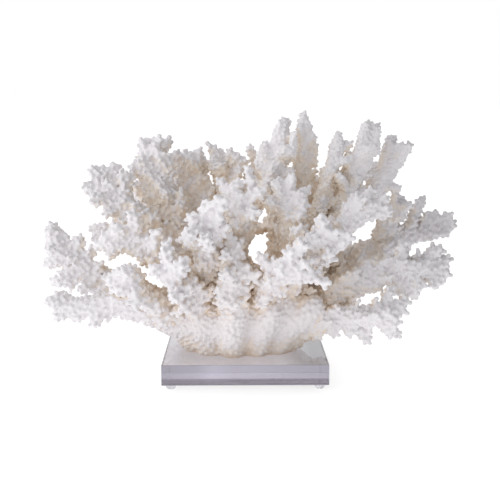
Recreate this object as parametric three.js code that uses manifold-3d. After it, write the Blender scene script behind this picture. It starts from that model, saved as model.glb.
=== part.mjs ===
// A bleached branching coral colony standing on a clear acrylic block with four small clear feet.
// Millimetres, +Z up. The colony's limbs fan out from one stump, sawn flat where it stands on the block.
import * as THREE from "three";
import { mergeVertices } from "three/addons/utils/BufferGeometryUtils.js";
import Module from "manifold-3d";

// ---- Driving dimensions ----
const BLOCK_SIDE = 152.4;
const BLOCK_THICK = 19.05;
const FOOT_TALL = 5;
const FOOT_WIDE = 9.5;
const FOOT_FLAT = 6;
const FOOT_INSET = 8;
const BLOCK_TOP = FOOT_TALL + BLOCK_THICK;

const GAP = 0.4; // left between two pieces of coral, so that each is a solid of its own
const LIMB_SIDES = 6;
const FINGER_SIDES = 4;
const FINGER_GIRTH = [5.8, 4.6]; // radius where a finger leaves its limb, and under its rounded tip
const FORK_SHARES = [0.6, 0.35, 0.15]; // how far back a finger may leave its limb, as shares of its reach
const SPIRAL = THREE.MathUtils.degToRad(137.5); // turn from one finger to the next around a back limb
const SPREAD = THREE.MathUtils.degToRad(50); // lean of those fingers away from their limb

// The stump, sawn flat underneath and fused solid in the middle: its half width at each height above the
// block, and its depth as a share of its width.
const STUMP_AT = [-5, -4];
const STUMP_PROFILE = [[48, 0], [55, 11], [67, 24], [70, 36], [62, 48], [46, 60], [26, 72]];
const STUMP_CROWN = 79;
const STUMP_DEPTH = 0.78;
const STUMP_SQUARE = 3; // 2 is an ellipse in plan, and more is squarer
const STUMP_SIDES = 16;

// ---- The limbs ----
// path: points that the limb's middle passes through, from inside the stump to its end.
// girth: its radius at the root and near the end. tips: where its fingers end.
// fingers: how many stand round a limb in a spiral, where none is placed by hand.
const LIMBS = {
  left_low: {
    path: [[-42, -15, 54], [-80, -38, 63], [-124, -52, 76], [-165, -58, 73]],
    girth: [15, 7.5],
    tips: [[-182, -58, 81], [-175, -50, 86], [-139, -64, 56], [-174, -62, 64], [-155, -60, 61]],
  },
  left_mid: {
    path: [[-44, -5, 54], [-101, -14, 76], [-148, -18, 100], [-171, -20, 124], [-184, -22, 140]],
    girth: [13, 7],
    tips: [[-187, -28, 124], [-190, -25, 107], [-178, -30, 90], [-182, -16, 147], [-154, -26, 136],
      [-156, -35, 85]],
  },
  left_bridge: {
    path: [[-42, 4, 84], [-78, 8, 114], [-115, 12, 126], [-140, 18, 130]],
    girth: [12, 7],
    tips: [[-153, 18, 136], [-149, 10, 123], [-140, 24, 142], [-127, 26, 145], [-100, 14, 138]],
  },
  left_fan: {
    path: [[-45, -25, 58], [-84, -56, 78], [-107, -72, 100]],
    girth: [12, 7],
    tips: [[-118, -78, 110], [-120, -80, 96], [-104, -86, 112], [-96, -90, 94]],
  },
  left_high: {
    path: [[-34, 5, 72], [-77, 0, 124], [-117, -5, 164], [-145, -8, 178]],
    girth: [14, 8],
    tips: [[-154, -12, 180], [-147, 0, 198], [-125, 8, 202], [-115, -14, 196], [-145, -15, 163],
      [-133, -20, 154]],
  },
  left_shoulder: {
    path: [[-38, -15, 70], [-79, -40, 114], [-114, -50, 136]],
    girth: [12, 7],
    tips: [[-132, -50, 140], [-120, -58, 150], [-99, -62, 156], [-82, -75, 143]],
  },
  high_left: {
    path: [[-30, 12, 74], [-64, 15, 140], [-87, 12, 189], [-96, 10, 216]],
    girth: [15, 9],
    tips: [[-99, 4, 224], [-90, 18, 223], [-80, 6, 226], [-72, 20, 225], [-111, 2, 196], [-68, 4, 204]],
  },
  high_left_back: {
    path: [[-20, 25, 72], [-42, 38, 136], [-55, 45, 184]],
    girth: [14, 9],
    tips: [[-68, 42, 211], [-60, 52, 211], [-46, 40, 215], [-38, 52, 203]],
  },
  high_mid_back: {
    path: [[-10, 28, 72], [-17, 42, 141], [-20, 50, 188]],
    girth: [12, 7.5],
    tips: [[-26, 48, 213], [-9, 52, 211], [2, 42, 203], [-35, 40, 200]],
  },
  front_left: {
    path: [[-31, -35, 58], [-54, -72, 90], [-68, -96, 114]],
    girth: [12, 7],
    tips: [[-82, -105, 119], [-68, -108, 135], [-55, -114, 126], [-60, -110, 93]],
  },
  front_column: {
    path: [[-20, -38, 50], [-12, -62, 81], [-6, -74, 120]],
    girth: [12, 7.5],
    tips: [[-6, -78, 138], [-17, -84, 131], [-14, -93, 113], [4, -86, 112], [-22, -86, 88]],
  },
  centre_left: {
    path: [[-22, -30, 76], [-36, -66, 120], [-32, -86, 152]],
    girth: [12, 7],
    tips: [[-35, -92, 173], [-20, -98, 172], [-48, -95, 163], [-54, -100, 144], [-34, -112, 144]],
  },
  centre_rise: {
    path: [[-10, -20, 80], [-9, -48, 130], [-5, -64, 172]],
    girth: [12, 7.5],
    tips: [[-5, -64, 192], [10, -70, 184], [-19, -62, 186], [12, -80, 166]],
  },
  centre_front: {
    path: [[6, -34, 66], [22, -70, 100], [40, -96, 119]],
    girth: [12, 7],
    tips: [[55, -106, 124], [38, -108, 136], [63, -96, 111], [12, -92, 129]],
  },
  centre_right: {
    path: [[20, -24, 70], [50, -58, 117], [79, -84, 141]],
    girth: [12, 7],
    tips: [[93, -92, 145], [68, -95, 158], [55, -101, 144], [73, -98, 127],
      [46, -84, 152]],
  },
  high_centre: {
    path: [[18, 4, 78], [41, -2, 126], [26, -4, 180], [36, -6, 236]],
    girth: [14, 9],
    tips: [[37, -6, 247], [16, 2, 223], [12, 8, 213], [46, -22, 214]],
  },
  high_centre_right: {
    path: [[20, 16, 78], [52, 20, 134], [55, 14, 198], [58, 10, 240]],
    girth: [13, 7],
    tips: [[57, 9, 252], [69, 14, 223], [66, 6, 238], [72, 14, 184]],
  },
  centre_high_front: {
    path: [[22, -20, 78], [42, -44, 128], [37, -52, 174]],
    girth: [13, 7.5],
    tips: [[41, -54, 197], [27, -60, 193], [51, -62, 181], [14, -58, 178], [51, -70, 162]],
  },
  high_inner: {
    path: [[30, -2, 74], [66, -8, 140], [80, -8, 188], [88, -6, 220]],
    girth: [11, 6.5],
    tips: [[90, -4, 234], [73, 4, 196], [98, -16, 206], [104, 0, 222]],
  },
  high_right: {
    path: [[26, 2, 72], [75, 2, 132], [105, 0, 185], [117, -4, 232]],
    girth: [13, 8],
    tips: [[118, -6, 244], [130, 4, 240], [91, -26, 189], [129, -12, 214]],
  },
  high_right_outer: {
    path: [[32, 12, 70], [89, 18, 124], [126, 16, 174], [153, 12, 209]],
    girth: [13, 8],
    tips: [[161, 10, 216], [144, 16, 230], [151, 4, 223], [147, 6, 189], [153, 2, 176]],
  },
  right_front_high: {
    path: [[26, -14, 68], [68, -42, 121], [102, -60, 160]],
    girth: [13, 7.5],
    tips: [[129, -60, 177], [116, -58, 184], [100, -70, 178], [131, -62, 167]],
  },
  right_far: {
    path: [[38, 15, 56], [107, 32, 93], [162, 38, 130], [204, 36, 136]],
    girth: [15, 8],
    tips: [[214, 35, 139], [181, 38, 166], [193, 34, 152], [205, 34, 124], [187, 26, 121]],
  },
  right_rise: {
    path: [[134, 34, 122], [147, 26, 147], [149, 20, 162]],
    girth: [9, 8],
    tips: [[149, 18, 174], [159, 28, 168], [162, 6, 160]],
  },
  right_mid: {
    path: [[40, -8, 54], [95, -22, 82], [146, -32, 106], [180, -36, 108]],
    girth: [17, 8.5],
    tips: [[194, -36, 115], [193, -38, 98], [184, -34, 86], [179, -30, 128], [165, -48, 86], [150, -38, 80],
      [148, -44, 125]],
  },
  right_low: {
    path: [[32, -22, 50], [75, -42, 58], [115, -54, 65], [138, -58, 68]],
    girth: [14, 8],
    tips: [[150, -58, 70], [142, -62, 56], [138, -54, 44], [116, -56, 38], [100, -60, 46], [86, -50, 42],
      [136, -50, 92], [153, -48, 80]],
  },
  back_low_left: { path: [[-42, 18, 48], [-85, 52, 54], [-128, 72, 68]], girth: [12, 7], fingers: 4 },
  back_left: { path: [[-34, 22, 68], [-78, 58, 110], [-108, 76, 146]], girth: [12, 7], fingers: 4 },
  back_high_left: { path: [[-22, 26, 76], [-54, 64, 132], [-74, 80, 176]], girth: [12, 7], fingers: 4 },
  back_low_mid: { path: [[-14, 30, 54], [-24, 76, 80], [-34, 104, 98]], girth: [12, 7], fingers: 4 },
  back_mid: { path: [[-4, 28, 70], [-10, 72, 116], [-18, 94, 152]], girth: [12, 7], fingers: 4 },
  back_high_mid: { path: [[-6, 22, 76], [-12, 50, 126], [12, 60, 168], [16, 62, 198]], girth: [12, 7.5], fingers: 4 },
  back_low_near: { path: [[16, 28, 54], [42, 74, 80], [58, 102, 100]], girth: [12, 7], fingers: 4 },
  back_right: { path: [[24, 24, 68], [60, 62, 108], [84, 84, 142]], girth: [12, 7], fingers: 4 },
  back_high_right: { path: [[20, 20, 76], [54, 52, 132], [80, 66, 178]], girth: [12, 7], fingers: 4 },
  back_low_right: { path: [[38, 22, 54], [84, 52, 76], [132, 68, 96]], girth: [12, 7], fingers: 4 },
};

// ---- Solids ----
const wasm = await Module();
wasm.setup();

const point = (p) => new THREE.Vector3(...p);

// A closed geometry as a solid that can be joined and cut, without the empty triangles at a lathe's poles.
function solidOf(geometry) {
  const bare = new THREE.BufferGeometry().setAttribute("position", geometry.getAttribute("position"));
  if (geometry.index) bare.setIndex(geometry.index);
  const merged = mergeVertices(bare, 1e-3);
  const corners = [];
  for (let i = 0; i < merged.index.count; i += 3) {
    const [a, b, c] = [0, 1, 2].map((k) => merged.index.getX(i + k));
    if (a !== b && b !== c && c !== a) corners.push(a, b, c);
  }
  const vertProperties = merged.attributes.position.array;
  return new wasm.Manifold(new wasm.Mesh({ numProp: 3, vertProperties, triVerts: new Uint32Array(corners) }));
}

function geometryOf(solid) {
  const mesh = solid.getMesh();
  const geometry = new THREE.BufferGeometry();
  geometry.setAttribute("position", new THREE.BufferAttribute(new Float32Array(mesh.vertProperties), 3));
  geometry.setIndex(new THREE.BufferAttribute(new Uint32Array(mesh.triVerts), 1));
  geometry.computeVertexNormals();
  return geometry;
}

const largest = (solid) =>
  solid.decompose().reduce((best, each) => (each.volume() > best.volume() ? each : best));

// A tapering round branch with a blunt tip, turned on a lathe and then bent along a curve.
// grow makes it that much fatter and longer, as the room it needs around it.
function branchSolid(curve, [rootRadius, tipRadius], sides, bends, grow = 0) {
  const blunt = 1 - Math.min((0.6 * tipRadius) / curve.getLength(), 0.3);
  const profile = [new THREE.Vector2(0, 0)];
  for (let k = 0; k <= bends; k++) {
    const u = (blunt * k) / bends;
    profile.push(new THREE.Vector2(THREE.MathUtils.lerp(rootRadius, tipRadius, u) + grow, u));
  }
  profile.push(new THREE.Vector2(0, 1));
  const lathe = new THREE.LatheGeometry(profile, sides);

  const steps = 40;
  const frames = curve.computeFrenetFrames(steps);
  const places = lathe.getAttribute("position");
  for (let i = 0; i < places.count; i++) {
    const u = places.getY(i);
    const k = Math.round(u * steps);
    const at = curve
      .getPointAt(u)
      .addScaledVector(frames.normals[k], places.getZ(i))
      .addScaledVector(frames.binormals[k], places.getX(i))
      .addScaledVector(frames.tangents[k], u > 0.999 ? grow : 0);
    places.setXYZ(i, at.x, at.y, at.z);
  }
  return solidOf(lathe);
}

function stumpSolid(grow = 0) {
  const profile = [new THREE.Vector2(0, -grow)];
  for (const [radius, height] of STUMP_PROFILE) {
    profile.push(new THREE.Vector2(radius + grow, height === 0 ? -grow : height));
  }
  profile.push(new THREE.Vector2(0, STUMP_CROWN + grow));
  const lathe = new THREE.LatheGeometry(profile, STUMP_SIDES);
  lathe.rotateX(Math.PI / 2);
  const places = lathe.getAttribute("position");
  for (let i = 0; i < places.count; i++) {
    const [x, y] = [places.getX(i), places.getY(i)];
    const radius = Math.hypot(x, y);
    const power = (v) => Math.abs(v) ** STUMP_SQUARE;
    const swell = radius > 0 ? radius / (power(x) + power(y)) ** (1 / STUMP_SQUARE) : 1;
    places.setXY(i, STUMP_AT[0] + x * swell, STUMP_AT[1] + y * swell * STUMP_DEPTH);
  }
  lathe.translate(0, 0, BLOCK_TOP);
  return solidOf(lathe);
}

// Where along a limb a finger leaves it: the place nearest to its tip, and back by a share of its reach.
function forkOf(curve, tip, share) {
  const steps = 60;
  let nearest = 0;
  for (let k = 1; k <= steps; k++) {
    const closer = curve.getPointAt(k / steps).distanceTo(tip) < curve.getPointAt(nearest).distanceTo(tip);
    if (closer) nearest = k / steps;
  }
  const reach = curve.getPointAt(nearest).distanceTo(tip);
  return Math.max(0.15, nearest - (share * reach) / curve.getLength());
}

// Tips of the fingers that stand round a limb in a spiral, leaning towards its end.
function spiralTips(curve, count) {
  const frames = curve.computeFrenetFrames(count);
  const tips = [];
  for (let k = 0; k < count; k++) {
    const u = 0.45 + (0.55 * k) / (count - 1);
    const frame = Math.round(u * count);
    const around = k * SPIRAL;
    const out = new THREE.Vector3()
      .addScaledVector(frames.normals[frame], Math.cos(around))
      .addScaledVector(frames.binormals[frame], Math.sin(around));
    const way = frames.tangents[frame].clone().multiplyScalar(Math.cos(SPREAD));
    way.addScaledVector(out, Math.sin(SPREAD));
    tips.push(curve.getPointAt(u).addScaledVector(way, 34 - 8 * u));
  }
  return tips;
}

// Every limb's middle branch, cut free of the stump and of the limbs before it.
const stump = stumpSolid();
const rooms = { stump: stumpSolid(GAP) }; // each piece a little fatter, which the others stay out of
const limbs = {};
let taken = rooms.stump;
for (const [name, { path, girth }] of Object.entries(LIMBS)) {
  const curve = new THREE.CatmullRomCurve3(path.map(point), false, "centripetal");
  const solid = largest(branchSolid(curve, girth, LIMB_SIDES, 3).subtract(taken));
  rooms[name] = branchSolid(curve, girth, LIMB_SIDES, 3, GAP);
  taken = taken.add(rooms[name]);
  limbs[name] = { curve, solid };
}

const clashes = (name, solid) =>
  Object.entries(rooms).some(([other, room]) => other !== name && !solid.intersect(room).isEmpty());

// Then its fingers. One that would grow into another limb is left out, as it would stop there in life.
for (const [name, { tips, fingers }] of Object.entries(LIMBS)) {
  const limb = limbs[name];
  for (const tip of tips ? tips.map(point) : spiralTips(limb.curve, fingers)) {
    const lines = FORK_SHARES.map(
      (share) => new THREE.LineCurve3(limb.curve.getPointAt(forkOf(limb.curve, tip, share)), tip),
    );
    const line = lines.find((each) => !clashes(name, branchSolid(each, FINGER_GIRTH, FINGER_SIDES, 1)));
    if (!line) continue;
    limb.solid = limb.solid.add(branchSolid(line, FINGER_GIRTH, FINGER_SIDES, 1));
    rooms[name] = rooms[name].add(branchSolid(line, FINGER_GIRTH, FINGER_SIDES, 1, GAP));
  }
}

// ---- Materials ----
const coral = new THREE.MeshStandardMaterial({ color: 0xe9e4de, roughness: 0.85, metalness: 0 });
const acrylic = new THREE.MeshStandardMaterial({
  color: 0xe2e0ee, roughness: 0.05, metalness: 0, transparent: true, opacity: 0.35,
});
const footPlastic = new THREE.MeshStandardMaterial({
  color: 0xe8e8ee, roughness: 0.25, metalness: 0, transparent: true, opacity: 0.5,
});

function named(name, geometry, material) {
  const mesh = new THREE.Mesh(geometry, material.clone());
  mesh.name = name;
  return mesh;
}

// ---- The object ----
const colony = new THREE.Group();

const block = named("acrylic_block", new THREE.BoxGeometry(BLOCK_SIDE, BLOCK_SIDE, BLOCK_THICK), acrylic);
block.position.z = FOOT_TALL + BLOCK_THICK / 2;
colony.add(block);

const footProfile = [
  new THREE.Vector2(0, 0),
  new THREE.Vector2(FOOT_FLAT / 2, 0),
  new THREE.Vector2(FOOT_WIDE / 2, FOOT_TALL * 0.5),
  new THREE.Vector2(FOOT_WIDE / 2, FOOT_TALL),
  new THREE.Vector2(0, FOOT_TALL),
];
const footReach = BLOCK_SIDE / 2 - FOOT_INSET;
for (const [name, x, y] of [
  ["foot_front_left", -1, -1],
  ["foot_front_right", 1, -1],
  ["foot_back_left", -1, 1],
  ["foot_back_right", 1, 1],
]) {
  const lathe = new THREE.LatheGeometry(footProfile, 12);
  lathe.rotateX(Math.PI / 2);
  const foot = named(name, lathe, footPlastic);
  foot.position.set(x * footReach, y * footReach, 0);
  colony.add(foot);
}

colony.add(named("stump", geometryOf(stump), coral));
for (const [name, { solid }] of Object.entries(limbs)) {
  colony.add(named(name, geometryOf(largest(solid)), coral));
}

// The origin is on the surface it stands on, under the middle of its overall width and depth.
const middle = new THREE.Box3().setFromObject(colony).getCenter(new THREE.Vector3());
for (const piece of colony.children) piece.position.sub(new THREE.Vector3(middle.x, middle.y, 0));

export default colony;
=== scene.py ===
"""A bleached branching coral on a clear block: grows the coral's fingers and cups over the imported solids,
polishes the block and its feet, and sets a pale studio round them. Lengths inside the growing code are in
millimetres, and the finished meshes are in metres."""

import math
import bmesh
import bpy
import numpy as np
from bpy.props import (
    FloatProperty,
    FloatVectorProperty,
    IntProperty,
    PointerProperty,
)
from bpy.types import Operator, Panel, PropertyGroup
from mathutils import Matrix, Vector
from mathutils.bvhtree import BVHTree
from mathutils.kdtree import KDTree


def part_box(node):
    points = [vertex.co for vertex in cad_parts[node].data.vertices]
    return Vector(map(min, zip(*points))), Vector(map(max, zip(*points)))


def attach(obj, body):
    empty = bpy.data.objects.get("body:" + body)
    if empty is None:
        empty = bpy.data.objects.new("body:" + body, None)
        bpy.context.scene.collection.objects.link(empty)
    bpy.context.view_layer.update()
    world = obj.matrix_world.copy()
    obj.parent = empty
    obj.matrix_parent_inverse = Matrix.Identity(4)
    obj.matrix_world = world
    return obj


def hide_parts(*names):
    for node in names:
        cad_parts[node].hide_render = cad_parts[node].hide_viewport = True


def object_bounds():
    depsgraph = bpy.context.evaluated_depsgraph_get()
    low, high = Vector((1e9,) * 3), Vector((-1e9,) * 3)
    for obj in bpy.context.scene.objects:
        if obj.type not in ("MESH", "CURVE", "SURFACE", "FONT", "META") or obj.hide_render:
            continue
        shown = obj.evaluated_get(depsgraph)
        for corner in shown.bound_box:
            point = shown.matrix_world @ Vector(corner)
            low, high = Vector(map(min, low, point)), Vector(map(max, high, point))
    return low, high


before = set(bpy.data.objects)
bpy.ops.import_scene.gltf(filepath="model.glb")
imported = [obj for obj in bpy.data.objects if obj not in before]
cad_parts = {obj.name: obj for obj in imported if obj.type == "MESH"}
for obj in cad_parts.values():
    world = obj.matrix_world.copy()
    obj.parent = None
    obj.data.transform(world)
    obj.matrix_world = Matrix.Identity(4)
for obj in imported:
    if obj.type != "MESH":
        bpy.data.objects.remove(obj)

bl_info = {
    "name": "Branching Coral on a Clear Block",
    "version": (1, 0, 0),
    "blender": (4, 5, 0),
    "location": "3D View > Sidebar > Coral",
    "description": "Grows a bleached branching coral on a clear acrylic block",
    "category": "Add Mesh",
}

MM = 0.001
CAD_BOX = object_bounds()
STAND = ["acrylic_block", "foot_front_left", "foot_front_right", "foot_back_left", "foot_back_right"]
CORAL = [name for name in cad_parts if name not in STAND]


# ---- Reading the solids ----


def arrays_of(mesh):
    """A mesh's points in millimetres, and its triangles."""
    points = np.empty(len(mesh.vertices) * 3, np.float64)
    mesh.vertices.foreach_get("co", points)
    mesh.calc_loop_triangles()
    corners = np.empty(len(mesh.loop_triangles) * 3, np.int32)
    mesh.loop_triangles.foreach_get("vertices", corners)
    return points.reshape(-1, 3) / MM, corners.reshape(-1, 3)


def solid(name):
    return arrays_of(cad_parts[name].data)


def box_mm(name):
    low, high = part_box(name)
    return np.array(low) / MM, np.array(high) / MM


def joined(parts):
    """Several (points, triangles) pairs as one."""
    points, triangles, start = [], [], 0
    for p, t in parts:
        points.append(p)
        triangles.append(t + start)
        start += len(p)
    return np.concatenate(points), np.concatenate(triangles)


def mesh_from(name, points, triangles, shade=None):
    """A smooth-shaded mesh in metres, with the colour guide that the coral material reads: open sky and cup
    height for its painted shade, and wear.
    """
    mesh = bpy.data.meshes.new(name)
    mesh.vertices.add(len(points))
    mesh.vertices.foreach_set("co", (points * MM).astype(np.float32).ravel())
    mesh.loops.add(len(triangles) * 3)
    mesh.loops.foreach_set("vertex_index", triangles.astype(np.int32).ravel())
    mesh.polygons.add(len(triangles))
    mesh.polygons.foreach_set("loop_start", np.arange(0, len(triangles) * 3, 3, dtype=np.int32))
    mesh.update(calc_edges=True)
    mesh.shade_smooth()
    if shade is not None:
        layer = mesh.color_attributes.new("shade_and_wear_guide", "FLOAT_COLOR", "POINT")
        rgba = np.ones((len(points), 4), np.float32)
        rgba[:, :3] = shade
        layer.data.foreach_set("color", rgba.ravel())
    return mesh


# ---- Working on shapes ----


def evaluated(points, triangles, modifiers):
    """The shape after a few of Blender's own modifiers."""
    mesh = mesh_from("working", points, triangles)
    thing = bpy.data.objects.new("working", mesh)
    bpy.context.scene.collection.objects.link(thing)
    for kind, settings in modifiers:
        step = thing.modifiers.new(kind.lower(), kind)
        for key, value in settings.items():
            setattr(step, key, value)
    graph = bpy.context.evaluated_depsgraph_get()
    made = thing.evaluated_get(graph)
    result = arrays_of(made.to_mesh())
    made.to_mesh_clear()
    bpy.data.objects.remove(thing)
    bpy.data.meshes.remove(mesh)
    return result


def remeshed(points, triangles, voxel):
    return evaluated(points, triangles, [("REMESH", {"mode": "VOXEL", "voxel_size": voxel * MM})])


def thinned(points, triangles, share):
    return evaluated(points, triangles, [("DECIMATE", {"ratio": share})])


def edges_of(triangles):
    pairs = np.concatenate([triangles[:, [0, 1]], triangles[:, [1, 2]], triangles[:, [2, 0]]])
    pairs.sort(axis=1)
    return np.unique(pairs, axis=0)


def neighbour_mean(values, edges):
    """Each point's values averaged over the points that it shares an edge with."""
    count = np.bincount(edges.ravel(), minlength=len(values)).astype(float)
    total = np.zeros_like(values)
    for k in range(values.shape[1]):
        total[:, k] += np.bincount(edges[:, 0], weights=values[edges[:, 1], k], minlength=len(values))
        total[:, k] += np.bincount(edges[:, 1], weights=values[edges[:, 0], k], minlength=len(values))
    return total / np.maximum(count, 1)[:, None]


def smoothed(values, edges, times, strength=0.5):
    for _ in range(times):
        values = values + strength * (neighbour_mean(values, edges) - values)
    return values


def unit(vectors):
    return vectors / np.maximum(np.linalg.norm(vectors, axis=-1, keepdims=True), 1e-9)


def normals_of(points, triangles):
    a, b, c = (points[triangles[:, k]] for k in range(3))
    face = np.cross(b - a, c - a)
    total = np.zeros_like(points)
    for k in range(3):
        for axis in range(3):
            total[:, axis] += np.bincount(triangles[:, k], weights=face[:, axis], minlength=len(points))
    return unit(total)


def waves(points, wavelength, seed):
    """Smooth lumps from -1 to 1: a sum of a few crossed sine waves."""
    draw = np.random.default_rng(seed)
    total = np.zeros(len(points))
    for _ in range(7):
        way = unit(draw.normal(size=3)) * 2 * math.pi / (wavelength * draw.uniform(0.7, 1.5))
        total += np.sin(points @ way + draw.uniform(0, 6.28))
    return total / 4


def along_growth(points, triangles, edges, root):
    """How far each point lies from the limb's root over its surface, and which way the limb grows there."""
    length = np.linalg.norm(points[edges[:, 0]] - points[edges[:, 1]], axis=1)
    from_root = np.linalg.norm(points - root, axis=1)
    far = np.full(len(points), 1e6)
    start = from_root < from_root.min() + 7
    far[start] = from_root[start]
    for _ in range(600):
        before = far.copy()
        np.minimum.at(far, edges[:, 0], before[edges[:, 1]] + length)
        np.minimum.at(far, edges[:, 1], before[edges[:, 0]] + length)
        if np.array_equal(far, before):
            break
    far = smoothed(far[:, None], edges, 6)[:, 0]
    step = points[edges[:, 1]] - points[edges[:, 0]]
    rise = ((far[edges[:, 1]] - far[edges[:, 0]]) / np.maximum(length, 1e-6) ** 2)[:, None] * step
    way = np.zeros_like(points)
    for k in range(3):
        way[:, k] += np.bincount(edges[:, 0], weights=rise[:, k], minlength=len(points))
        way[:, k] += np.bincount(edges[:, 1], weights=rise[:, k], minlength=len(points))
    return far, unit(smoothed(way, edges, 8))


def bent_rod(start, end, bend, radii, sides=8):
    """A closed round rod from start to end, bowed by bend at its middle, with a domed end."""
    levels = np.array([0.0, 0.35, 0.7, 0.9, 0.98])
    width = np.interp(levels, [0, 1], radii) * np.array([1, 1, 1, 0.86, 0.5])
    spine = start + np.outer(levels, end - start) + np.outer(4 * levels * (1 - levels), bend)
    way = unit(end - start)
    side = unit(np.cross(way, [0.3, 0.5, 0.81] if abs(way[2]) < 0.9 else [1.0, 0, 0]))
    other = np.cross(way, side)
    turn = np.arange(sides) * 2 * math.pi / sides
    ring = np.outer(np.cos(turn), side) + np.outer(np.sin(turn), other)
    points = [spine[k] + ring * width[k] for k in range(len(levels))]
    points = np.concatenate(points + [start[None], end[None]])
    triangles = []
    for k in range(len(levels) - 1):
        for i in range(sides):
            j = (i + 1) % sides
            a, b, c, d = k * sides + i, k * sides + j, (k + 1) * sides + i, (k + 1) * sides + j
            triangles += [(a, b, d), (a, d, c)]
    last = (len(levels) - 1) * sides
    for i in range(sides):
        j = (i + 1) % sides
        triangles += [(j, i, len(points) - 2), (last + i, last + j, len(points) - 1)]
    return points, np.array(triangles)


def scattered(points, triangles, per_area, seed):
    """Evenly spread random places on a surface: their triangle and their place inside it."""
    draw = np.random.default_rng(seed)
    a, b, c = (points[triangles[:, k]] for k in range(3))
    area = np.linalg.norm(np.cross(b - a, c - a), axis=1) / 2
    count = int(area.sum() * per_area)
    pick = draw.choice(len(triangles), size=count, p=area / area.sum())
    u, v = draw.random(count), draw.random(count)
    over = u + v > 1
    u[over], v[over] = 1 - u[over], 1 - v[over]
    weights = np.stack([1 - u - v, u, v], axis=1)
    return pick, weights


def blended(values, triangles, pick, weights):
    return (values[triangles[pick]] * weights[..., None]).sum(axis=1)


def spaced(places, room):
    """The places that are kept when each takes its own room and the first come first."""
    tree = KDTree(len(places))
    for i, place in enumerate(places):
        tree.insert(place, i)
    tree.balance()
    free = np.ones(len(places), bool)
    kept = []
    for i, place in enumerate(places):
        if not free[i]:
            continue
        kept.append(i)
        for _, j, _ in tree.find_range(place, room[i]):
            free[j] = False
    return np.array(kept, int)


def tree_of(parts):
    points, triangles = joined(parts)
    return BVHTree.FromPolygons(points.tolist(), triangles.tolist())


# ---- Growing the coral ----

BLOCK_LOW, BLOCK_HIGH = box_mm("acrylic_block")
STUMP_LOW, STUMP_HIGH = box_mm("stump")
HEART = np.array([(STUMP_LOW[0] + STUMP_HIGH[0]) / 2, (STUMP_LOW[1] + STUMP_HIGH[1]) / 2, 62.0])
CUT = float(STUMP_LOW[2])


# Places that stay open to someone who looks from the front: x and z on the line of sight, and a radius.
EYE = np.array([BLOCK_LOW[0] + BLOCK_HIGH[0] - 10, BLOCK_LOW[1] + BLOCK_HIGH[1] - 1724, 519.4]) / 2
WINDOWS = [
    (150, 46, 6),
    (-90, 27, 4),
    (-183, 56, 5),
    (-169, 58, 4),
    (3, 124, 6),
    (-102, 90, 8),
    (104, 139, 9),
    (-155, 110, 5),
    (-145, 98, 2),
    (-132, 106, 2),
    (-118, 115, 2),
    (108, 66, 4),
    (134, 77, 4),
    (165, 124, 4),
    (-167, 139, 8),
    (-175, 133, 5),
    (-154, 154, 4),
    (-197, 37, 10),
    (-174, 46, 8),
    (-184, 42, 8),
    (-96, 30, 5),
    (-105, 34, 3),
    (138, 178, 8),
    (135, 196, 5),
    (174, 159, 4),
    (-127, 204, 5),
    (60, 211, 6),
    (82, 240, 4),
    (-200, 76, 3),
    (-190, 76, 3),
    (92, 29, 4),
    (77, 30, 4),
    (-133, 40, 5),
    (-119, 38, 4),
    (90, 232, 5),
    (-120, 218, 4),
    (124, 70, 3),
    (-157, 183, 4),
    (93, 221, 3),
    (12, 230, 4),
    (-7, 216, 4),
    (-100, 233, 6),
    (-92, 231, 4),
    (-57, 227, 5),
    (-65, 219, 4),
    (197, 97, 7),
    (-162, 183, 5),
    (-174, 53, 8),
    (-162, 60, 6),
    (-183, 51, 6),
    (-98, 95, 4),
    (-5, 217, 5),
    (134, 233, 4),
    (134, 178, 4),
    (54, 240, 4),
    (144, 64, 3),
]

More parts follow.
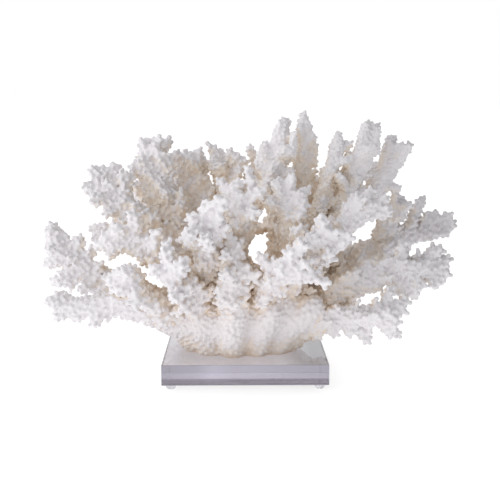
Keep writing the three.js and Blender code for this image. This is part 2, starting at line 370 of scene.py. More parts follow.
# Long fingers that the solids are too coarse to hold: start, end and radius.
FINGERS = {
    "back_left": [
        (-118, 63, 158, -125, 60, 178, 4.1),
    ],
    "centre_front": [
        (3, -63, 80, 16, -66, 114, 6.1),
        (2, -63, 84, -4, -63, 113, 4.6),
    ],
    "centre_rise": [
        (-11, -54, 136, -4, -57, 135, 2.6),
        (-6, -74, 182, -10, -77, 205, 3.6),
    ],
    "front_column": [
        (-27, -82, 84, -20, -85, 112, 6.1),
    ],
    "high_centre": [
        (33, -23, 207, 34, -23, 234, 3.8),
        (5, -3, 204, 5, -3, 220, 4.3),
        (23, -15, 223, 22, -15, 242, 5.3),
        (14, -11, 143, -6, -14, 136, 4.1),
    ],
    "high_centre_right": [
        (55, 8, 197, 56, 8, 222, 4.3),
        (44, 4, 223, 44, 4, 250, 5.3),
    ],
    "high_inner": [
        (73, -15, 205, 77, -15, 230, 4.3),
    ],
    "high_left": [
        (-111, -1, 192, -117, -3, 205, 2.6),
    ],
    "high_left_back": [
        (-79, 38, 193, -89, 35, 207, 3.1),
        (-52, 38, 163, -48, 35, 184, 3.6),
    ],
    "high_mid_back": [
        (-41, 35, 189, -43, 32, 206, 3.6),
        (-16, 36, 193, -20, 33, 207, 3.6),
    ],
    "high_right": [
        (87, -2, 196, 87, -2, 214, 3.8),
        (104, -10, 214, 106, -10, 241, 5.8),
        (113, -16, 214, 113, -16, 238, 3.3),
    ],
    "high_right_outer": [
        (123, 8, 195, 129, 8, 227, 5.3),
        (126, 5, 184, 145, 5, 213, 4.8),
        (114, 17, 187, 118, 17, 201, 4.8),
    ],
    "left_fan": [
        (-112, -64, 89, -114, -66, 103, 3.6),
        (-108, -80, 95, -116, -83, 117, 4.6),
        (-120, -81, 101, -125, -83, 115, 3.1),
        (-116, -84, 104, -114, -84, 115, 3.6),
        (-112, -76, 92, -106, -74, 109, 4.1),
    ],
    "left_high": [
        (-140, -1, 181, -148, -4, 197, 5.1),
        (-157, -17, 178, -163, -19, 178, 2.6),
    ],
    "left_low": [
        (-179, -66, 76, -190, -68, 80, 3.1),
        (-134, -62, 69, -137, -65, 61, 2.6),
    ],
    "left_mid": [
        (-187, -32, 129, -197, -34, 140, 3.1),
        (-185, -28, 116, -196, -30, 117, 3.1),
        (-176, -30, 96, -189, -33, 101, 3.1),
        (-178, -31, 85, -175, -33, 83, 2.6),
        (-162, -28, 104, -156, -30, 125, 3.6),
        (-157, -28, 100, -145, -32, 109, 3.1),
    ],
    "left_shoulder": [
        (-106, -53, 129, -151, -55, 130, 4.6),
        (-129, -52, 127, -137, -54, 118, 3.6),
    ],
    "right_far": [
        (158, 31, 145, 169, 28, 163, 3.1),
        (167, 28, 135, 171, 25, 150, 3.1),
        (183, 27, 132, 198, 24, 139, 4.6),
        (95, 35, 112, 113, 32, 120, 2.6),
    ],
    "right_low": [
        (89, -60, 69, 92, -63, 79, 2.6),
        (108, -63, 71, 107, -65, 85, 2.6),
        (101, -64, 59, 104, -67, 49, 3.1),
        (116, -62, 59, 125, -65, 49, 3.1),
    ],
    "right_mid": [
        (158, -45, 110, 168, -48, 124, 3.1),
        (146, -42, 111, 151, -45, 124, 3.1),
        (165, -43, 104, 177, -46, 111, 4.1),
        (163, -43, 100, 175, -45, 95, 3.6),
        (136, -40, 96, 149, -43, 77, 5.1),
        (131, -42, 96, 139, -45, 87, 3.1),
        (41, -23, 75, 41, -26, 97, 4.1),
    ],
    "right_rise": [
        (140, 14, 149, 151, 12, 163, 3.1),
    ],
    "stump": [
        (-21, -55, 50, -20, -58, 77, 8.1),
        (-45, -56, 50, -48, -59, 77, 6.1),
        (-58, -53, 57, -63, -56, 80, 6.1),
    ],
}

# The trunk's swellings and the ribs on its sides, from the middle of the stump.
SWELLINGS = [
    ((2, -20, -2), (50, 34, 36)),
    ((30, -22, 8), (32, 28, 32)),
    ((-28, -16, 6), (28, 28, 32)),
    ((0, 12, 0), (50, 34, 38)),
]
RIBS = [
    ([(-6, -33, -46), (-7, -52, -14), (-6, -58, 6), (-4, -62, 34)], (10, 11, 12, 10)),
    ([(-25, -28, -46), (-32, -44, -16), (-38, -46, 10)], (9, 10, 10)),
    ([(13, -32, -46), (22, -50, -10), (30, -54, 14)], (9, 9, 8)),
    ([(36, -16, -46), (56, -28, -17), (84, -36, -5)], (10, 11, 11)),
    ([(27, -27, -46), (48, -40, -8), (74, -38, 12)], (9, 11, 13)),
    ([(-36, -16, -46), (-54, -27, -13), (-80, -34, 2)], (9, 11, 11)),
    ([(-34, 16, -46), (-58, 30, -16), (-78, 46, -6)], (9, 10, 9)),
    ([(34, 16, -46), (56, 30, -14), (76, 44, 4)], (9, 10, 10)),
    ([(-6, 30, -46), (-12, 52, -8), (-16, 70, 14)], (10, 10, 10)),
    ([(18, 28, -46), (26, 50, -10), (38, 66, 12)], (9, 10, 10)),
]


def blocks_window(start, end, girth):
    """Whether a rod would stand in one of the gaps."""
    for x, z, radius in WINDOWS:
        sight = unit(np.array([x, EYE[1] + 862, z]) - EYE)
        for share in (0.25, 0.5, 0.75, 1.0):
            place = start + (end - start) * share - EYE
            if np.linalg.norm(place - sight * (place @ sight)) < radius + girth:
                return True
    return False


def coarseness(points):
    """How knobbly the coral grows: most at the front and the left, least at the top right."""
    x, y, z = (points - HEART).T
    right = np.clip((x + 20) / 150, 0, 1)
    high = np.clip((z - 80) / 70, 0, 1) * np.clip((x + 40) / 60, 0, 1)
    value = 0.85 - 0.35 * right - 0.62 * high + 0.2 * np.clip((-y - 45) / 45, 0, 1)
    return np.clip(value, 0.05, 1.0)


def rod_chain(spine, radii):
    """Round rods through the points of a spine, thick enough to fuse."""
    spine = [np.asarray(p, float) for p in spine]
    return [
        bent_rod(a - unit(b - a) * 2, b + unit(b - a) * 3, np.zeros(3), (ra, rb), 10)
        for a, b, ra, rb in zip(spine, spine[1:], radii, radii[1:])
    ]


def limb_line(name):
    """Points along the middle of a limb's first part, starting at its root, and its girth there."""
    points, triangles = remeshed(*solid(name), 3.0)
    edges = edges_of(triangles)
    far, _ = along_growth(points, triangles, edges, HEART)
    line, girths = [], []
    for reach in (5, 18, 31, 44):
        near = np.abs(far - reach) < 6
        if near.sum() < 8:
            break
        middle = points[near].mean(axis=0)
        line.append(middle)
        girths.append(np.percentile(np.linalg.norm(points[near] - middle, axis=1), 40))
    return line, girths


def side_twigs(name, points, triangles, everything, settings):
    """Short side branches that stand on a limb and lean towards its end."""
    draw = np.random.default_rng(settings.seed + sum(map(ord, name)))
    body, faces = remeshed(points, triangles, 3.0)
    edges = edges_of(faces)
    body = smoothed(body, edges, 3)
    far, way = along_growth(body, faces, edges, HEART)
    normal = normals_of(body, faces)
    pick, weights = scattered(body, faces, 0.06, settings.seed + len(name))
    places = blended(body, faces, pick, weights)
    outward = unit(blended(normal, faces, pick, weights))
    onward = unit(blended(way, faces, pick, weights))
    reach = blended(far[:, None], faces, pick, weights)[:, 0]
    inside = tree_of([(points, triangles)])
    room = np.full(len(places), settings.twig_spacing / MM)
    rods = []
    low, high = np.array(CAD_BOX[0]) / MM + 3, np.array(CAD_BOX[1]) / MM - 3
    for i in spaced(places, room):
        if reach[i] < 22 + 14 * draw.random():
            continue
        through = inside.ray_cast(Vector(places[i] - outward[i] * 0.5), Vector(-outward[i]), 60)
        thick = through[3] if through[0] is not None else 10.0
        coarse = coarseness(places[i : i + 1])[0]
        if thick < 13.5 and abs(outward[i][1]) < 0.5 and draw.random() < 0.75 - 0.4 * coarse:
            continue
        lean = draw.uniform(0.8, 1.35) + 0.8 * (1 - coarse)
        direction = unit(outward[i] + onward[i] * lean + draw.normal(size=3) * 0.1)
        length = draw.uniform(settings.twig_length[0], settings.twig_length[1]) / MM
        start = places[i]
        hit = everything.ray_cast(Vector(start + direction * 3), Vector(direction), length + 7)
        if hit[0] is not None:
            length = hit[3] - 4
        end = start + direction * length
        if length < 5 or (end < low).any() or (end > high).any() or end[2] < CUT + 14:
            continue
        if blocks_window(start, end, settings.twig_radius / MM + 2):
            continue
        radius = settings.twig_radius / MM * draw.uniform(0.9, 1.12) * (1 + 0.25 * (1 - coarse))
        bend = outward[i] * 0.05 * length
        rods.append(bent_rod(start - direction * 4, end, bend, (radius * 1.12, radius * 0.88)))
    return rods


def long_fingers(name):
    rows = np.array(FINGERS.get(name, [])).reshape(-1, 7)
    return [bent_rod(r[:3], r[3:6], np.zeros(3), (r[6] * 1.12, r[6] * 0.96), 10) for r in rows]


def limb_body(name, everything, settings):
    """A limb's rounded body, with its side twigs grown together with it."""
    points, triangles = solid(name)
    rods = side_twigs(name, points, triangles, everything, settings)
    rods += long_fingers(name)
    points, triangles = remeshed(*joined([(points, triangles)] + rods), 1.7)
    edges = edges_of(triangles)
    points = smoothed(points, edges, 4)
    normal = normals_of(points, triangles)
    swell = 1.4 * coarseness(points) - 0.9
    swell += 0.4 * waves(points, 17, settings.seed) + 0.2 * waves(points, 7, settings.seed + 1)
    return points + normal * swell[:, None], triangles


def stump_body(settings):
    """The fused stump: a rounded heart, and ribs that climb its sides from the sawn foot into the limbs."""
    parts = [solid("stump")] + long_fingers("stump")
    parts += [egg(HEART + np.array(place), np.array(radii)) for place, radii in SWELLINGS]
    for spine, radii in RIBS:
        parts += rod_chain([HEART + np.array(place) for place in spine], radii)
    for name in CORAL:
        line, girths = limb_line(name) if name != "stump" else ([], [])
        if len(line) >= 3 and np.linalg.norm(line[0] - HEART) < 75:
            parts += rod_chain(line[:3], [g * 1.1 for g in girths[:3]])
    points, triangles = remeshed(*joined(parts), 2.2)
    edges = edges_of(triangles)
    points = smoothed(points, edges, 16)
    normal = normals_of(points, triangles)
    swell = 1.6 + 0.7 * waves(points, 22, settings.seed + 5) + 0.5 * waves(points, 9, settings.seed + 6)
    points = points + normal * swell[:, None]
    points[:, 2] = np.maximum(points[:, 2], CUT + 0.02)
    return points, triangles


def egg(middle, radii, rings=14, sides=24):
    """A closed rounded mass."""
    points = [(0, 0, -1)]
    for k in range(1, rings):
        tilt = math.pi * k / rings
        for i in range(sides):
            turn = 2 * math.pi * i / sides
            points.append((math.sin(tilt) * math.cos(turn), math.sin(tilt) * math.sin(turn), -math.cos(tilt)))
    points.append((0, 0, 1))
    triangles = []
    for i in range(sides):
        j = (i + 1) % sides
        triangles.append((0, 1 + j, 1 + i))
        last = 1 + (rings - 2) * sides
        triangles.append((last + i, last + j, len(points) - 1))
        for k in range(rings - 2):
            a, b = 1 + k * sides + i, 1 + k * sides + j
            triangles += [(a, b, b + sides), (a, b + sides, a + sides)]
    return np.array(points) * radii + middle, np.array(triangles)


def open_sky(places, normals, tree, rays, seed):
    """The share of the room above each place that nothing shuts in."""
    draw = np.random.default_rng(seed)
    free = np.zeros(len(places))
    ways = unit(draw.normal(size=(len(places), rays, 3)))
    ways = unit(ways + normals[:, None, :] * 1.05)
    for i, (place, normal) in enumerate(zip(places, normals)):
        start = Vector(place + normal * 0.7)
        open_ways = 0
        for way in ways[i]:
            if tree.ray_cast(start, Vector(way), 160)[0] is None:
                open_ways += 1
        free[i] = open_ways / rays
    return free


def cup_template(sides, levels):
    """A little round cup: rings of (radius, height) as shares of its size, closed by a middle point."""
    turn = np.arange(sides) * 2 * math.pi / sides
    points = []
    for radius, height in levels[:-1]:
        points += [(radius * math.cos(t), radius * math.sin(t), height) for t in turn]
    points.append((0, 0, levels[-1][1]))
    triangles = []
    rings = len(levels) - 1
    for k in range(rings - 1):
        for i in range(sides):
            j = (i + 1) % sides
            a, b, c, d = k * sides + i, k * sides + j, (k + 1) * sides + i, (k + 1) * sides + j
            triangles += [(a, b, d), (a, d, c)]
    last = (rings - 1) * sides
    triangles += [(last + i, last + (i + 1) % sides, len(points) - 1) for i in range(sides)]
    triangles += [(0, i + 1, i) for i in range(1, sides - 1)]
    return np.array(points, float), np.array(triangles)


NUB = cup_template(8, [(0.8, -0.5), (0.98, 0.35), (1.06, 0.65), (0.92, 0.95), (0.55, 1.14), (0, 1.2)])


def placed(template, places, axes, width, height, seed):
    """Copies of a template, one at each place, as one shape."""
    points, triangles = template
    draw = np.random.default_rng(seed)
    spin = draw.uniform(0, 6.28, len(places))
    helper = np.where(np.abs(axes[:, 2:3]) < 0.9, [[0.0, 0, 1]], [[1.0, 0, 0]])
    side = unit(np.cross(axes, helper))
    other = np.cross(axes, side)
    first = side * np.cos(spin)[:, None] + other * np.sin(spin)[:, None]
    second = np.cross(axes, first)
    local = points[None] * np.stack([width, width, height], axis=1)[:, None, :]
    world = (
        places[:, None]
        + local[..., 0:1] * first[:, None]
        + local[..., 1:2] * second[:, None]
        + local[..., 2:3] * axes[:, None]
    )
    all_triangles = triangles[None] + (np.arange(len(places)) * len(points))[:, None, None]
    return world.reshape(-1, 3), all_triangles.reshape(-1, 3)


def nearest_values(points, values, places):
    """The values of the points nearest to some places."""
    tree = KDTree(len(points))
    for i, point in enumerate(points):
        tree.insert(point, i)
    tree.balance()
    return values[[tree.find(place)[1] for place in places]]


def stump_wear(places):
    """How worn the stump is: smooth low down and on the right, knobby where its left ribs rise."""
    x, _, z = (places - HEART).T
    return np.clip(0.75 + x / 55 - (z + 30) / 160, 0.2, 0.93)


CUP_TRIES = 0.42  # places tried for a cup on each square millimetre
SKY_RAYS = 20
SHUT_IN = 0.02  # less open sky than this grows no cups
FINEST_VOXEL, VOXEL_GROWTH = 0.68, 0.24
KEPT_SHARE = 0.28  # of the fused skin's triangles
# The cup height in the guide paints the valleys between cups as shade and the cup tops lighter.
CUP_LIFT = 2.5  # height of a cup in the colour guide
WEAR_REACH = 120.0  # where the wear round the heart has faded out


def cup_sites(name, body, settings, draw, seed):
    """Where cups may stand: their places, the ways out and onward, and how big, worn and coarse they are."""
    points, triangles = body
    edges = edges_of(triangles)
    normal = normals_of(points, triangles)
    far, way = along_growth(points, triangles, edges, HEART)
    pick, weights = scattered(points, triangles, CUP_TRIES, seed)
    places = blended(points, triangles, pick, weights)
    outward = unit(blended(normal, triangles, pick, weights))
    onward = unit(blended(way, triangles, pick, weights))
    reach = blended(far[:, None], triangles, pick, weights)[:, 0]
    coarse = coarseness(places)
    worn = np.clip(1 - (reach - 20) / 40, 0, 1) if name != "stump" else stump_wear(places)
    size = settings.cup_size / MM * (1 + 0.85 * coarse) * draw.uniform(0.75, 1.15, len(places))
    keep = spaced(places, size * settings.cup_spacing)
    keep = keep[places[keep, 2] > CUT + 3]
    return [values[keep] for values in (places, outward, onward, size, worn, coarse)]


def cup_skin(name, body, tree, settings):
    """A limb's finished skin, with its cups fused to its body, and the colour guide of painted shade and
    wear.
    """
    points, triangles = body
    seed = settings.seed + sum(map(ord, name))
    draw = np.random.default_rng(seed)
    sites = cup_sites(name, body, settings, draw, seed)

    thin_points, thin_triangles = thinned(points, triangles, 0.3)
    body_sky = open_sky(thin_points, normals_of(thin_points, thin_triangles), tree, SKY_RAYS, seed)
    body_sky = smoothed(body_sky[:, None], edges_of(thin_triangles), 3)[:, 0]
    seen = nearest_values(thin_points, body_sky, sites[0]) > SHUT_IN
    places, outward, onward, size, worn, coarse = (values[seen] for values in sites)

    lean = draw.uniform(0.45, 0.85, len(places))[:, None]
    axes = unit(outward + onward * lean + draw.normal(size=places.shape) * 0.08)
    tall = size * (1.1 + 0.35 * coarse) * (1 - 0.65 * worn) * draw.uniform(0.9, 1.25, len(places))
    cups = placed(NUB, places, axes, size, tall, seed + 2)
    skin, faces = remeshed(*joined([body, cups]), FINEST_VOXEL + VOXEL_GROWTH * coarse.mean())
    edges = edges_of(faces)
    skin = smoothed(smoothed(skin, edges, 1, 0.5), edges, 1, -0.45)
    skin, faces = thinned(skin, faces, KEPT_SHARE)

    # Painted shade guide: open sky and height on the cup set how light the coral is painted; wear is a tint
    # near the stump.
    sky = nearest_values(thin_points, body_sky, skin)
    home = nearest_values(points, np.concatenate([points, normals_of(points, triangles)], axis=1), skin)
    lift = np.clip(((skin - home[:, :3]) * home[:, 3:]).sum(axis=1) / CUP_LIFT, 0, 1)
    wear = np.clip(1 - np.linalg.norm(skin - HEART, axis=1) / WEAR_REACH, 0, 1)
    return skin, faces, np.stack([sky, lift, wear], axis=1)


def grow(bodies, tree, settings):
    """Turn every body into a coral piece."""
    material = coral_material()
    for name in CORAL:
        mesh = mesh_from("coral_" + name, *cup_skin(name, bodies[name], tree, settings))
        add_piece("coral_" + name, mesh, material, name)


# ---- Materials ----


def new_material(name):
    material = bpy.data.materials.new(name)
    material.use_nodes = True
    tree = material.node_tree
    return material, tree, tree.nodes["Principled BSDF"]


def node(tree, kind, values=(), **settings):
    made = tree.nodes.new(kind)
    for key, value in settings.items():
        setattr(made, key, value)
    for key, value in dict(values).items():
        made.inputs[key].default_value = value
    return made


def ramp(tree, factor, stops):
    made = tree.nodes.new("ShaderNodeValToRGB")
    made.color_ramp.interpolation = "EASE"
    while len(made.color_ramp.elements) < len(stops):
        made.color_ramp.elements.new(0.5)
    for element, (place, colour) in zip(made.color_ramp.elements, stops):
        element.position = place
        element.color = (*colour, 1)
    tree.links.new(factor, made.inputs["Fac"])
    return made.outputs["Color"]


def mix(tree, kind, factor, first, second):
    made = tree.nodes.new("ShaderNodeMix")
    made.data_type = "RGBA"
    made.blend_type = kind
    for socket, value in ((made.inputs["Factor"], factor), (made.inputs[6], first), (made.inputs[7], second)):
        if hasattr(value, "default_value") or hasattr(value, "links"):
            tree.links.new(value, socket)
        elif isinstance(value, (int, float)):
            socket.default_value = value
        else:
            socket.default_value = (*value, 1)
    return made.outputs[2]


def maths(tree, operation, *values):
    """A sum over numbers and other nodes' outputs."""
    made = tree.nodes.new("ShaderNodeMath")
    made.operation = operation
    for socket, value in zip(made.inputs, values):
        if isinstance(value, (int, float)):
            socket.default_value = value
        else:
            tree.links.new(value, socket)
    return made.outputs[0]


def ranged(tree, value, low, high, to_low=0.0, to_high=1.0):
    """A value stretched from one range to another, and held at its ends."""
    stretch = {"From Min": low, "From Max": high, "To Min": to_low, "To Max": to_high}
    made = node(tree, "ShaderNodeMapRange", stretch)
    tree.links.new(value, made.inputs["Value"])
    return made.outputs[0]


def axes_of(tree, vector):
    made = tree.nodes.new("ShaderNodeSeparateXYZ")
    tree.links.new(vector, made.inputs[0])
    return made.outputs


def noise(tree, place, kind="Noise", **values):
    made = node(tree, "ShaderNodeTex" + kind, values)
    tree.links.new(place, made.inputs["Vector"])
    return made.outputs[0]


def shaded(colour, share):
    return tuple(min(part * share, 1.0) for part in colour)


def coral_material():
    """Chalky bleached coral with painted shade: white where it is open, cream shade in the hollows and tan
    shade in the deepest ones, set by how much open sky each place has and how high it stands on its cup.
    """
    colours = bpy.context.scene.coral_colours
    material, tree, shader = new_material("bleached_coral")
    guide = node(tree, "ShaderNodeVertexColor", layer_name="shade_and_wear_guide")
    parts = tree.nodes.new("ShaderNodeSeparateColor")
    tree.links.new(guide.outputs["Color"], parts.inputs[0])
    sky, lift, wear = parts.outputs
    place = tree.nodes.new("ShaderNodeTexCoord").outputs["Object"]

    patches = maths(tree, "MULTIPLY_ADD", noise(tree, place, Scale=28.0, Detail=3.0), 0.22, -0.11)
    # Painted shade: places with less open sky, and places low between the cups, are painted darker and
    # warmer.
    openness = maths(tree, "ADD", maths(tree, "MULTIPLY_ADD", lift, 0.16, sky), patches)
    stops = [(0.04, colours.deep_shade), (0.20, colours.hollow_shade), (0.44, colours.body), (0.70, colours.open)]
    base = ramp(tree, openness, stops)

    # Painted shade: the upper right limbs are painted greyer and darker, where less light falls on them.
    x, _, z = axes_of(tree, place)
    right_side_shade = maths(tree, "MULTIPLY", ranged(tree, x, 0.03, 0.19), ranged(tree, z, 0.065, 0.105))
    base = mix(tree, "MULTIPLY", right_side_shade, base, colours.right_side_shade)
    base = mix(tree, "MULTIPLY", 0.8, base, mix(tree, "MIX", wear, (1, 1, 1), colours.worn))

    grain = noise(tree, place, Scale=900.0, Detail=4.0, Roughness=0.7)
    speckle = ramp(tree, grain, [(0.3, (0.92, 0.91, 0.91)), (0.6, (1, 1, 1))])
    tree.links.new(mix(tree, "MULTIPLY", 0.7, base, speckle), shader.inputs["Base Color"])

    pores = noise(tree, place, "Voronoi", Scale=620.0)
    bump = node(tree, "ShaderNodeBump", {"Strength": 0.18, "Distance": 0.0004})
    tree.links.new(maths(tree, "ADD", grain, pores), bump.inputs["Height"])
    tree.links.new(bump.outputs[0], shader.inputs["Normal"])
    shader.inputs["Roughness"].default_value = 0.9
    shader.inputs["IOR"].default_value = 1.45
    shader.inputs["Specular IOR Level"].default_value = 0.25
    return material


def clear_material(name, surface, tint, roughness, ior, density, clearness=1.0):
    """Clear plastic with a trace of grain on its polish, and a tint that deepens with its thickness."""
    material, tree, shader = new_material(name)
    shader.inputs["Base Color"].default_value = (*surface, 1)
    tinted = node(tree, "ShaderNodeVolumeAbsorption", {"Color": (*tint, 1), "Density": density})
    tree.links.new(tinted.outputs[0], tree.nodes["Material Output"].inputs["Volume"])
    shader.inputs["Transmission Weight"].default_value = clearness
    shader.inputs["Specular IOR Level"].default_value = 0.12
    shader.inputs["IOR"].default_value = ior
    place = tree.nodes.new("ShaderNodeTexCoord").outputs["Object"]
    smear = noise(tree, place, Scale=60.0, Detail=3.0)
    polish = ranged(tree, smear, 0.0, 1.0, roughness * 0.5, roughness * 1.5)
    tree.links.new(polish, shader.inputs["Roughness"])
    return material


# The dark band is painted shade that stands in for the darker view through the block's underside.
PAINTED_BAND_HEIGHT = 0.0064  # height of the dim band above the block's underside


def paint_block_light_and_shade(material, clear):
    """A painted dark band of shade with streaks low on the block's sides, a painted paler reflection in the
    middle of the sides, and a top painted pale where it reflects the coral and darker at the right as painted
    shade.
    """
    tree = material.node_tree
    shader = tree.nodes["Principled BSDF"]
    place = tree.nodes.new("ShaderNodeTexCoord").outputs["Object"]
    x, _, z = axes_of(tree, place)
    edge = BLOCK_LOW[2] * MM + PAINTED_BAND_HEIGHT
    above_band = ranged(tree, z, edge - 0.0004, edge + 0.0004)
    along = ranged(tree, x, BLOCK_LOW[0] * MM, BLOCK_HIGH[0] * MM)
    normal = tree.nodes.new("ShaderNodeNewGeometry").outputs["Normal"]
    level = maths(tree, "ABSOLUTE", axes_of(tree, normal)[2])

    # Painted light on the sides: a paler reflection just left of the middle, and painted shade towards both
    # ends.
    side_painted_light = [(0.0, 0.82), (0.17, 0.88), (0.3, 1.07), (0.45, 0.98), (1.0, 0.85)]
    # Painted light on the top: a pale reflection of the coral in the middle, and painted shade to the right.
    top_painted_light = [(0.0, 0.85), (0.3, 1.0), (0.7, 1.0), (0.95, 0.48)]
    side = ramp(tree, along, [(stop, shaded(clear, share)) for stop, share in side_painted_light])
    top = ramp(tree, along, [(stop, shaded(clear, share)) for stop, share in top_painted_light])
    stretch = node(tree, "ShaderNodeMapping", {"Scale": (6.0, 6.0, 300.0)})
    tree.links.new(place, stretch.inputs[0])
    streaks = noise(tree, stretch.outputs[0], Scale=3.0, Detail=3.0)
    # Painted shade: a dark streaked band low on the sides.
    band_shade = ramp(tree, streaks, [(0.35, (0.12, 0.11, 0.12)), (0.65, (0.28, 0.26, 0.28))])
    sides = mix(tree, "MIX", above_band, band_shade, side)
    tree.links.new(mix(tree, "MIX", level, sides, top), shader.inputs["Base Color"])


def add_piece(name, mesh, material, node_name):
    mesh.materials.append(material)
    piece = bpy.data.objects.new(name, mesh)
    bpy.context.scene.collection.objects.link(piece)
    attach(piece, "root")
    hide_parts(node_name)
    return piece


# ---- The clear stand ----


def block_mesh(chamfer):
    """The block, with the small chamfers that polishing leaves on its edges."""
    low, high = (np.array(corner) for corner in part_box("acrylic_block"))
    shape = bmesh.new()
    bmesh.ops.create_cube(shape, size=1)
    for vertex in shape.verts:
        vertex.co = Vector((low + high) / 2 + np.array(vertex.co) * (high - low))
    bmesh.ops.bevel(shape, geom=shape.edges[:], offset=chamfer, segments=2, affect="EDGES", profile=0.6)
    mesh = bpy.data.meshes.new("clear_block")
    shape.to_mesh(mesh)
    shape.free()
    return mesh


def foot_mesh(node_name, sides=40):
    """A domed bumper foot, flat underneath and stuck to the block by its wide face."""
    low, high = (np.array(corner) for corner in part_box(node_name))
    middle = (low + high) / 2
    radius, tall = (high[0] - low[0]) / 2, high[2] - low[2] - 0.1 * MM
    outline = [(0.62, 0.0), (0.74, 0.04), (0.88, 0.18), (0.97, 0.42), (1.0, 0.7), (1.0, 0.96), (0.97, 1.0)]
    shape = bmesh.new()
    rings = []
    for share, height in outline:
        ring = []
        for k in range(sides):
            turn = 2 * math.pi * k / sides
            place = (math.cos(turn) * radius * share, math.sin(turn) * radius * share, 0)
            ring.append(shape.verts.new((middle[0] + place[0], middle[1] + place[1], low[2] + tall * height)))
        rings.append(ring)
    for below, above in zip(rings, rings[1:]):
        for k in range(sides):
            j = (k + 1) % sides
            shape.faces.new((below[k], below[j], above[j], above[k]))
    shape.faces.new(rings[0][::-1])
    shape.faces.new(rings[-1])
    mesh = bpy.data.meshes.new(node_name + "_clear")
    shape.to_mesh(mesh)
    shape.free()
    mesh.shade_smooth()
    return mesh


# ---- What a user may change ----


class CoralGrowth(PropertyGroup):
    seed: IntProperty(name="Seed", description="Picks another natural scatter of twigs and cups", default=11)
    twig_spacing: FloatProperty(
        name="Twig spacing", description="Room that each side twig takes", default=10.5 * MM, unit="LENGTH"
    )
    twig_length: FloatVectorProperty(
        name="Twig length", description="Shortest and longest side twig", size=2,
        default=(9 * MM, 18 * MM), subtype="XYZ_LENGTH",
    )
    twig_radius: FloatProperty(
        name="Twig radius", description="Radius of a twig without its cups", default=3.7 * MM, unit="LENGTH"
    )
    cup_size: FloatProperty(
        name="Cup radius", description="Radius of the smallest cups", default=1.3 * MM, unit="LENGTH"
    )
    cup_spacing: FloatProperty(
        name="Cup spacing", description="Room for a cup as a multiple of its radius", default=2.0, min=1.5
    )


class CoralColours(PropertyGroup):
    open: FloatVectorProperty(
        name="Open", description="Where the light reaches", subtype="COLOR", default=(0.89, 0.87, 0.895)
    )
    body: FloatVectorProperty(
        name="Body", description="Between the cups", subtype="COLOR", default=(0.94, 0.87, 0.80)
    )
    # Painted shade: the hollow and deep colours paint the shade between the limbs and in the deepest gaps.
    hollow_shade: FloatVectorProperty(
        name="Hollow", description="Between the limbs", subtype="COLOR", default=(0.94, 0.825, 0.70)
    )
    deep_shade: FloatVectorProperty(
        name="Deep", description="In the deepest gaps", subtype="COLOR", default=(0.90, 0.72, 0.56)
    )
    # Painted shade of the right limbs.
    right_side_shade: FloatVectorProperty(
        name="Right side", description="Tint of the right limbs", subtype="COLOR", default=(0.82, 0.82, 0.825)
    )
    worn: FloatVectorProperty(
        name="Worn", description="Tint of the worn stump", subtype="COLOR", default=(1.0, 0.935, 0.895)
    )


class ClearStand(PropertyGroup):
    surface: FloatVectorProperty(
        name="Surface", description="Tint of its polish", subtype="COLOR", default=(0.80, 0.775, 0.80)
    )
    chamfer: FloatProperty(
        name="Chamfer", description="Width of the polished edges", default=0.35 * MM, unit="LENGTH"
    )
    tint: FloatVectorProperty(
        name="Tint", description="Tint of the acrylic", subtype="COLOR", default=(0.645, 0.63, 0.71)
    )
    foot_tint: FloatVectorProperty(
        name="Foot tint", description="Tint of the feet", subtype="COLOR", default=(0.93, 0.93, 0.96)
    )


class StudioStage(PropertyGroup):
    floor: FloatVectorProperty(
        name="Floor", description="Colour of the floor", subtype="COLOR", default=(0.55, 0.55, 0.55)
    )
    glow: FloatProperty(name="Floor glow", description="Light that comes up through the floor", default=0.7)
    sky: FloatProperty(name="Room light", description="Strength of the room's even light", default=1.0)
    key: FloatProperty(name="Key light", description="Strength of the large soft lamp", default=0.98)
    lens: FloatProperty(name="Lens", description="Focal length in millimetres", default=64.8)


# ---- The steps ----

BODIES = {}


def sky_tree():
    return tree_of([thinned(*body, 0.3) for body in BODIES.values()] + [solid("acrylic_block")])


class CORAL_OT_shape_limbs(Operator):
    """Round the limbs and grow their side twigs"""

    bl_idname = "coral.shape_limbs"
    bl_label = "Shape the limbs"

    def execute(self, context):
        settings = context.scene.coral_growth
        everything = tree_of([solid(name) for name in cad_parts])
        for name in CORAL:
            if name != "stump":
                BODIES[name] = limb_body(name, everything, settings)
        return {"FINISHED"}


class CORAL_OT_shape_stump(Operator):
    """Shape the fused stump that the limbs grow from"""

    bl_idname = "coral.shape_stump"
    bl_label = "Shape the stump"

    def execute(self, context):
        BODIES["stump"] = stump_body(context.scene.coral_growth)
        return {"FINISHED"}


class CORAL_OT_grow_cups(Operator):
    """Cover the stump and the limbs with cups and give them their colours"""

    bl_idname = "coral.grow_cups"
    bl_label = "Grow the cups"

    def execute(self, context):
        if set(BODIES) != set(CORAL):
            raise RuntimeError("shape the stump and the limbs first")
        grow(BODIES, sky_tree(), context.scene.coral_growth)
        return {"FINISHED"}


class CORAL_OT_make_block(Operator):
    """Make the clear block with polished edges"""

    bl_idname = "coral.make_block"
    bl_label = "Make the block"

    def execute(self, context):
        stand = context.scene.clear_stand
        material = clear_material("clear_acrylic", stand.surface, stand.tint, 0.02, 1.49, 10.0)
        paint_block_light_and_shade(material, stand.surface)
        add_piece("clear_block", block_mesh(stand.chamfer), material, "acrylic_block")
        return {"FINISHED"}


class CORAL_OT_make_feet(Operator):
    """Make the four clear feet"""

    bl_idname = "coral.make_feet"
    bl_label = "Make the feet"

    def execute(self, context):
        stand = context.scene.clear_stand
        material = clear_material("clear_foot", stand.foot_tint, stand.foot_tint, 0.3, 1.4, 4.0, 0.6)
        for name in STAND[1:]:
            add_piece("clear_" + name, foot_mesh(name), material, name)
        return {"FINISHED"}


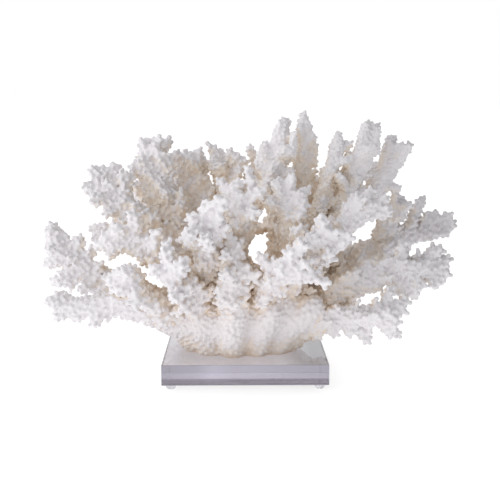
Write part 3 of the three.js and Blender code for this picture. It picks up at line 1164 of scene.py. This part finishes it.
class CORAL_OT_set_stage(Operator):
    """Lay the pale floor, hang the soft lamps and set the camera"""

    bl_idname = "coral.set_stage"
    bl_label = "Set the stage"

    def execute(self, context):
        scene, stage = context.scene, context.scene.studio_stage
        mesh = bpy.data.meshes.new("studio_floor")
        mesh.from_pydata([(-30, -30, 0), (30, -30, 0), (30, 30, 0), (-30, 30, 0)], [], [(0, 1, 2, 3)])
        material, tree, shader = new_material("pale_floor")
        shader.inputs["Base Color"].default_value = (*stage.floor, 1)
        shader.inputs["Roughness"].default_value = 0.8
        shader.inputs["Emission Color"].default_value = (1, 1, 1, 1)
        shader.inputs["Emission Strength"].default_value = stage.glow
        mesh.materials.append(material)
        floor = bpy.data.objects.new("studio_floor", mesh)
        scene.collection.objects.link(floor)

        world = bpy.data.worlds.new("studio_room")
        world.use_nodes = True
        room = world.node_tree
        background = room.nodes["Background"]
        background.inputs["Strength"].default_value = stage.sky
        x, y, _ = axes_of(room, room.nodes.new("ShaderNodeTexCoord").outputs["Generated"])
        blend = node(room, "ShaderNodeMix", {0: 0.5, 2: 1.0}, data_type="FLOAT")
        room.links.new(ranged(room, y, 0.6, -0.1), blend.inputs[0])
        room.links.new(ranged(room, x, -1.0, 1.0, 1.14, 0.02), blend.inputs[3])
        room.links.new(blend.outputs[0], background.inputs["Color"])
        scene.world = world

        middle = (Vector(CAD_BOX[0]) + Vector(CAD_BOX[1])) / 2
        for name, place, size, strength in (
            ("key_lamp", (-0.62, -0.66, 0.25), 0.9, stage.key),
            ("top_lamp", (-0.7, -0.3, 1.2), 0.9, stage.key * 0.6),
        ):
            lamp = bpy.data.lights.new(name, "AREA")
            lamp.shape, lamp.size, lamp.energy = "DISK", size, strength
            thing = bpy.data.objects.new(name, lamp)
            thing.location = middle + Vector(place)
            thing.rotation_euler = (-Vector(place)).to_track_quat("-Z", "Y").to_euler()
            scene.collection.objects.link(thing)

        block = (np.array(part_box("acrylic_block")[0]) + np.array(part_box("acrylic_block")[1])) / 2
        camera = bpy.data.cameras.new("camera")
        camera.lens, camera.sensor_width = stage.lens, 36
        eye = bpy.data.objects.new("camera", camera)
        eye.location = (block[0] - 0.005, block[1] - 0.862, 0.2597)
        eye.rotation_euler = (math.radians(90 - 9.4), 0, math.radians(-0.67))
        scene.collection.objects.link(eye)
        scene.camera = eye
        scene.view_settings.view_transform = "Standard"
        return {"FINISHED"}


class CORAL_PT_panel(Panel):
    """The coral's settings and the steps that build it"""

    bl_idname = "CORAL_PT_panel"
    bl_label = "Branching Coral"
    bl_space_type = "VIEW_3D"
    bl_region_type = "UI"
    bl_category = "Coral"

    def draw(self, context):
        layout, scene = self.layout, context.scene
        for group in (scene.coral_growth, scene.coral_colours, scene.clear_stand, scene.studio_stage):
            box = layout.box()
            for key in group.__annotations__:
                box.prop(group, key)
        for step in STEPS:
            layout.operator(step.bl_idname)


GROUPS = {
    "coral_growth": CoralGrowth,
    "coral_colours": CoralColours,
    "clear_stand": ClearStand,
    "studio_stage": StudioStage,
}
STEPS = [
    CORAL_OT_make_block,
    CORAL_OT_make_feet,
    CORAL_OT_shape_limbs,
    CORAL_OT_shape_stump,
    CORAL_OT_grow_cups,
    CORAL_OT_set_stage,
]


def register():
    for group in GROUPS.values():
        bpy.utils.register_class(group)
    for step in STEPS + [CORAL_PT_panel]:
        bpy.utils.register_class(step)
    for name, group in GROUPS.items():
        setattr(bpy.types.Scene, name, PointerProperty(type=group))


def unregister():
    for name in GROUPS:
        delattr(bpy.types.Scene, name)
    for step in [CORAL_PT_panel] + STEPS[::-1]:
        bpy.utils.unregister_class(step)
    for group in GROUPS.values():
        bpy.utils.unregister_class(group)


def main():
    register()
    for step in STEPS:
        family, action = step.bl_idname.split(".")
        getattr(getattr(bpy.ops, family), action)()


if __name__ == "__main__":
    main()
